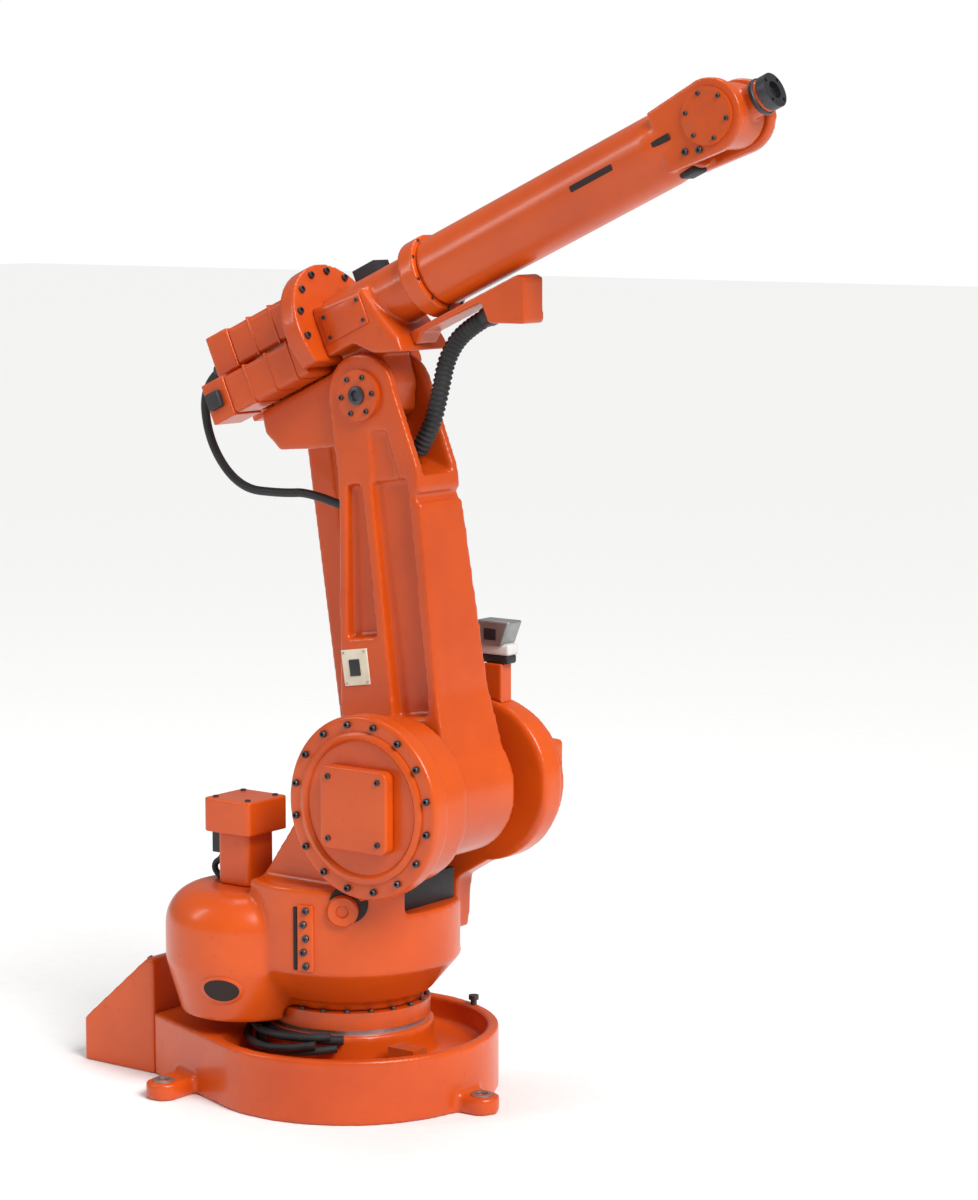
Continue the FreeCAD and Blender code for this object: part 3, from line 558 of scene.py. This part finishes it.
def bellows():
    low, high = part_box("hose_guard")
    ribs = 9
    pitch = (high.x - low.x) / ribs
    work = bmesh.new()
    for i in range(ribs):
        x = low.x + pitch * i
        inset = Vector((0, 0.003, 0)) if i % 2 else Vector((0, 0, 0))
        drop = 0.004 if i % 2 else 0
        slab(work, ROW, Vector((x, low.y, low.z)) + inset,
             Vector((x + pitch, high.y, high.z - drop)) - inset, pitch * 0.22)
    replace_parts(add_piece("fork_bellows", to_mesh(work, "fork_bellows"), "frame", RUBBER),
                "hose_guard")


def motor1_lead():
    low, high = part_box("motor1_connector")
    y = (low.y + high.y) / 2
    spots = [Vector((low.x + 0.010, y, low.z + 0.004)), Vector((low.x + 0.006, y, low.z - 0.012)),
             Vector((low.x - 0.012, y, low.z - 0.022)), Vector((low.x - 0.008, y, low.z - 0.038)),
             Vector((low.x + 0.012, y, low.z - 0.046))]
    cable("motor1_lead", spots, 0.005, RUBBER, "frame")
    rounded_box("motor1_socket", ROW, (low.x - 0.004, low.y + 0.006, low.z + 0.010),
                (low.x + 0.001, high.y - 0.006, high.z - 0.004), "frame", WHITE, 0.001)


def motor3_plug():
    """A cast angle plug: a dark collar, a pale ring and a grey hood that leans out."""
    low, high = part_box("motor3_connector")
    size = high - low

    def stage(name, share_a, share_b, inset, finish, lean=0.0, spread=0.0):
        work = bmesh.new()
        slab(work, ROW, (low.x + inset, low.y + inset, low.z + size.z * share_a),
             (high.x - inset, high.y - inset, low.z + size.z * share_b), 0.004)
        for vert in work.verts:
            rise = (vert.co.z - low.z - size.z * share_a) / (size.z * (share_b - share_a))
            vert.co.x += lean * (rise - 1) + (vert.co.x - (low.x + high.x) / 2) * spread * (rise - 1)
        return add_piece(name, to_mesh(work, name), "frame", finish)

    stage("motor3_plug_collar", 0.0, 0.22, 0.007, PLASTIC)
    stage("motor3_plug_band", 0.20, 0.46, 0.005, WHITE)
    hood = stage("motor3_plug_hood", 0.42, 1.0, 0.0005, CAST_GREY, 0.006, 0.30)
    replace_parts(hood, "motor3_connector")
    rounded_box("motor3_plug_mouth", ROW, (low.x + 0.016, low.y - 0.0005, low.z + size.z * 0.55),
                (low.x + 0.040, low.y + 0.004, low.z + size.z * 0.82), "frame", PLASTIC, 0.0015)


# ---- lower arm and linkage ----------------------------------------------------------------------
ELBOW_UP = (ELBOW - SHOULDER).length
ELBOW_NEAR, ELBOW_FAR = -0.054, 0.062


def lower_arm():
    cast("lower_arm_body", ["lower_arm_casting"], "lower_arm", 0.0035, 7)
    finish_node("elbow_shaft", STEEL)
    for node in ("elbow_cap_near", "elbow_cap_far"):
        finish_node(node, ORANGE)
    for name, y, way in (("near", ELBOW_NEAR, -1), ("far", ELBOW_FAR, 1)):
        face = (0, y, ELBOW_UP)
        screws(f"elbow_{name}_screws", ring_seats(LOWER, face, (0, way, 0), 0.029, 6), "lower_arm",
               0.004, 0.0035)
        work = bmesh.new()
        turned(work, [(0.014, -0.001), (0.014, 0.003), (0.012, 0.0045), (0.008, 0.0045),
                      (0.007, 0.001)], facing(LOWER, face, (0, way, 0)), 32)
        add_piece(f"elbow_{name}_plug", to_mesh(work, f"elbow_{name}_plug"), "lower_arm", DARK_STEEL)


def name_plate():
    """The cream plate's rivets and its plain dark field."""
    finish_node("rating_plate", CREAM)
    rounded_box("plate_field", LOWER, (-0.077, -0.0547, 0.186), (-0.057, -0.0530, 0.211), "lower_arm",
                PLASTIC, 0.0006)
    seats = [(LOWER, (x, -0.0537, z), (0, -1, 0)) for x in (-0.086, -0.046) for z in (0.176, 0.222)]
    screws("plate_rivets", seats, "lower_arm", 0.0016, 0.0012, STEEL)


def linkage():
    cast("crank_body", ["crank_arm"], "crank", 0.0025, 6)
    cast("rod_body", ["tie_rod"], "tie_rod", 0.0028, 4)
    for node in ("crank_pin", "link_pin"):
        finish_node(node, STEEL)
    low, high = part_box("link_pin")
    spot = ((low.x + high.x) / 2, high.y, (low.z + high.z) / 2)
    work = bmesh.new()
    turned(work, [(0.017, -0.001), (0.017, 0.0025), (0.015, 0.0035), (0.006, 0.0035),
                  (0.005, 0.001)], facing(ROW, spot, (0, 1, 0)), 32)
    add_piece("link_washer", to_mesh(work, "link_washer"), "upper_arm", DARK_STEEL)


# ---- upper arm ----------------------------------------------------------------------------------
PLATE_FRONT, PLATE_BACK = -0.025, -0.055
MOTOR_END = PLATE_BACK - 0.204
COLLAR_FRONT = 0.179
MOTOR_SEATS = ((0.0, OFFSET + 0.044), (-0.046, OFFSET - 0.032), (0.046, OFFSET - 0.032))


def upper_arm():
    cast("housing_body", ["arm_housing"], "upper_arm", 0.003, 7)
    cast("chin_body", ["chin_bracket"], "upper_arm", 0.002, 6)
    cast("gear_plate_body", ["gear_plate"], "upper_arm", 0.0025, 4)
    cast("collar_body", ["collar"], "upper_arm", 0.0022, 4)
    cast("motor_caps_body", ["motor_caps"], "upper_arm", 0.0022, 5)
    for node in ("motor4", "motor5", "motor6"):
        cast(node + "_body", [node], "upper_arm", 0.0022, 4)
    finish_node("top_connector", PLASTIC)


def upper_details():
    plate = ring_seats(UPPER, (PLATE_FRONT, 0, OFFSET), (1, 0, 0), 0.088, 14, 8)
    clear = [s for s in plate if s[1].z > 0.074 and (abs(s[1].y) > 0.066 or s[1].z > 0.158)]
    screws("gear_plate_screws", clear, "upper_arm", 0.0055, 0.005)
    collar = ring_seats(UPPER, (COLLAR_FRONT, 0, OFFSET), (1, 0, 0), 0.0567, 10, 9)
    screws("collar_screws", collar, "upper_arm", 0.0026, 0.0012)
    seats = []
    for y, z in MOTOR_SEATS:
        for dy in (-0.023, 0.023):
            for dz in (-0.023, 0.023):
                seats.append((UPPER, (MOTOR_END, y + dy, z + dz), (-1, 0, 0)))
    screws("motor_cap_screws", seats, "upper_arm", 0.0036, 0.0025)
    work = bmesh.new()
    for y, z in MOTOR_SEATS:
        for i in range(3):
            x = PLATE_BACK - 0.020 - 0.046 * i
            slab(work, UPPER, (x - 0.0035, y - 0.0312, z - 0.0312), (x, y + 0.0312, z + 0.0312), 0.001)
    add_piece("motor_bands", to_mesh(work, "motor_bands"), "upper_arm", ORANGE)
    work = bmesh.new()
    turned(work, [(0.0125, -0.002), (0.0125, 0.010), (0.0105, 0.012), (0.0095, 0.022),
                  (0.0080, 0.024)], facing(UPPER, (MOTOR_END, 0, 0.150), (-1, 0, 0)), 32)
    add_piece("rear_gland", to_mesh(work, "rear_gland"), "upper_arm", PLASTIC)
    for name, (y, z) in zip(("motor5", "motor6"), MOTOR_SEATS[1:]):
        side = -1 if y < 0 else 1
        outer = y + side * 0.0295
        low_y, high_y = sorted((outer, outer + side * 0.012))
        rounded_box(f"{name}_socket", UPPER, (MOTOR_END + 0.008, low_y, z - 0.012),
                    (MOTOR_END + 0.034, high_y, z + 0.014), "upper_arm", PLASTIC, 0.002)


def housing_cover():
    """A bolted cover on each flank of the arm housing."""
    for name, side in (("near", -1), ("far", 1)):
        low_y, high_y = sorted((side * 0.0575, side * 0.0605))
        rounded_box(f"housing_cover_{name}", UPPER, (0.026 if side > 0 else -0.012, low_y, 0.088),
                    (0.070, high_y, 0.134), "upper_arm", ORANGE, 0.0014)
        start = 0.033 if side > 0 else -0.005
        seats = [(UPPER, (x, side * 0.0605, z), (0, side, 0)) for x in (start, 0.063)
                 for z in (0.095, 0.127)]
        screws(f"housing_cover_{name}_screws", seats, "upper_arm", 0.0032, 0.0022)


# The routes repeat the points of the part's source, in metres.
REAR_ROUTE = [(MOTOR_END, 0.150), (-0.315, 0.150), (-0.346, 0.060), (-0.318, -0.030),
              (-0.240, -0.068), (-0.182, -0.088), (-0.1142, -0.1456)]
HOSE_ROUTE = [(0.030, -0.104), (0.066, -0.084), (0.104, -0.040), (0.140, 0.006), (0.190, 0.028),
              (0.2458, 0.028)]


def arm_cables():
    rear_spots = [UPPER @ Vector((x, 0, z)) for x, z in REAR_ROUTE]
    rear = cable("rear_loop", rear_spots, 0.0068, RUBBER)
    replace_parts(rear, "rear_cable")
    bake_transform(rear)
    hose_spots = [UPPER @ Vector((x, 0.004, z)) for x, z in HOSE_ROUTE]
    hose = cable("elbow_conduit", hose_spots, 0.0137, RUBBER, ribs=0.008, steps=24)
    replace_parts(hose, "elbow_hose")
    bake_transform(hose)
    work = bmesh.new()
    turned(work, [(0.0165, 0.0), (0.0165, 0.012), (0.0150, 0.014), (0.0146, 0.020)],
           facing(UPPER, (0.2458, 0.004, 0.028), (-1, 0, 0)), 32)
    add_piece("hose_gland", to_mesh(work, "hose_gland"), "upper_arm", PLASTIC)


# ---- forearm and wrist --------------------------------------------------------------------------
COVER_FACE = 0.052


def forearm():
    cast("tube_body", ["arm_tube"], "forearm", 0.0028, 6)
    for node in ("wrist_cover_near", "wrist_cover_far"):
        finish_node(node, ORANGE)
    for name, side in (("near", -1), ("far", 1)):
        face = (TUBE_LENGTH, side * COVER_FACE, OFFSET)
        screws(f"wrist_{name}_screws", ring_seats(UPPER, face, (0, side, 0), 0.033, 6, 30), "forearm",
               0.0032, 0.0025)
    # Near-black slabs on the tube's near side: painted shade standing in for recessed cable slots.
    for name, start, end, depth in (("a", 0.474, 0.553, 0.0538), ("b", 0.604, 0.654, 0.0515)):
        rounded_box(f"tube_slot_painted_shade_{name}", UPPER, (start, -depth, OFFSET - 0.005),
                    (end, -depth + 0.007, OFFSET + 0.005), "forearm", SHADE_BLACK, 0.0022)
    seats = [(UPPER, (x, -0.0478, z), (0, -1, 0)) for x, z in ((0.668, 0.090), (0.690, 0.083))]
    screws("fork_screws", seats, "forearm", 0.005, 0.004)
    rounded_box("fork_damper", UPPER, (0.628, -0.020, 0.0665), (0.656, 0.014, 0.078), "forearm",
                RUBBER, 0.004)


def wrist():
    cast("wrist_body", ["wrist_housing"], "wrist", 0.0018, 5)
    work = bmesh.new()
    turned(work, [(0.0250, 0.0), (0.0265, 0.0015), (0.0265, 0.006), (0.0250, 0.0075)],
           facing(UPPER, (TUBE_LENGTH + 0.058, 0, OFFSET), (1, 0, 0)), 48)
    add_piece("nose_ring", to_mesh(work, "nose_ring"), "wrist", DARK_STEEL)
    finish_node("tool_flange", DARK_STEEL)


base()
drum_cables()
frame_castings()
frame_details()
tower_window_painted_shade()
barrel_details()
bellows()
motor1_lead()
motor3_plug()
lower_arm()
name_plate()
linkage()
upper_arm()
upper_details()
housing_cover()
arm_cables()
forearm()
wrist()


# ---- floor, light and camera --------------------------------------------------------------------
def backdrop():
    mesh = bpy.data.meshes.new("studio_floor")
    half = 30
    mesh.from_pydata([(-half, -half, 0), (half, -half, 0), (half, half, 0), (-half, half, 0)], [],
                     [(0, 1, 2, 3)])
    floor = bpy.data.objects.new("studio_floor", mesh)
    bpy.context.scene.collection.objects.link(floor)
    floor.location.z = -0.0005
    made, nodes, links, shader, place = material("studio_paper")
    paper = noise(nodes, links, place, 40.0)
    links.new(ramp(nodes, links, paper, grey(0.93), grey(0.96), 0.3, 0.7), shader.inputs["Base Color"])
    shader.inputs["Roughness"].default_value = 0.9
    mesh.materials.append(made)


def area_light(name, spot, target, size, power):
    lamp = bpy.data.lights.new(name, "AREA")
    lamp.shape = "RECTANGLE"
    lamp.size, lamp.size_y = size
    lamp.energy = power
    holder = bpy.data.objects.new(name, lamp)
    bpy.context.scene.collection.objects.link(holder)
    holder.location = spot
    holder.rotation_mode = "QUATERNION"
    holder.rotation_quaternion = (Vector(target) - Vector(spot)).to_track_quat("-Z", "Y")


def studio():
    """A sun as the key, two soft lamps, and a world that looks white but lights the object dimly."""
    world = bpy.data.worlds.new("studio")
    bpy.context.scene.world = world
    world.use_nodes = True
    nodes, links = world.node_tree.nodes, world.node_tree.links
    sky = nodes["Background"]
    sky.inputs["Color"].default_value = (1, 0.99, 0.97, 1)
    sky.inputs["Strength"].default_value = 0.30
    paper = nodes.new("ShaderNodeBackground")
    paper.inputs["Color"].default_value = (1, 1, 1, 1)
    seen = nodes.new("ShaderNodeLightPath")
    choice = nodes.new("ShaderNodeMixShader")
    links.new(seen.outputs["Is Camera Ray"], choice.inputs["Fac"])
    links.new(sky.outputs["Background"], choice.inputs[1])
    links.new(paper.outputs["Background"], choice.inputs[2])
    links.new(choice.outputs["Shader"], nodes["World Output"].inputs["Surface"])
    key = bpy.data.lights.new("key", "SUN")
    key.energy = 3.2
    key.angle = 0.5
    holder = bpy.data.objects.new("key", key)
    bpy.context.scene.collection.objects.link(holder)
    holder.rotation_mode = "QUATERNION"
    holder.rotation_quaternion = Vector((-3.0, 0.9, -2.9)).to_track_quat("-Z", "Y")
    area_light("left_strip", (-2.4, -2.4, 2.6), (0, 0, 1.0), (0.5, 2.0), 24)
    area_light("top", (-0.3, 0.6, 3.6), (0.1, 0, 0.9), (1.6, 1.0), 26)
    view = bpy.context.scene.view_settings
    view.view_transform = "Standard"
    view.look = "None"


def camera():
    """The photo's own viewpoint: 39 degrees round from the arm's right side, a little above."""
    azimuth, turn_off, pitch = math.radians(39.0), math.radians(-2.43), math.radians(7.5)
    distance, height = 5.0, 1.411
    lens = bpy.data.cameras.new("photo_view")
    lens.sensor_width = 36
    lens.lens = 99.87
    lens.clip_end = 100
    holder = bpy.data.objects.new("photo_view", lens)
    bpy.context.scene.collection.objects.link(holder)
    holder.location = (math.sin(azimuth) * distance, -math.cos(azimuth) * distance, height)
    a = azimuth + turn_off
    way = Vector((-math.sin(a) * math.cos(pitch), math.cos(a) * math.cos(pitch), -math.sin(pitch)))
    holder.rotation_mode = "QUATERNION"
    holder.rotation_quaternion = way.to_track_quat("-Z", "Y")
    bpy.context.scene.camera = holder


backdrop()
studio()
camera()
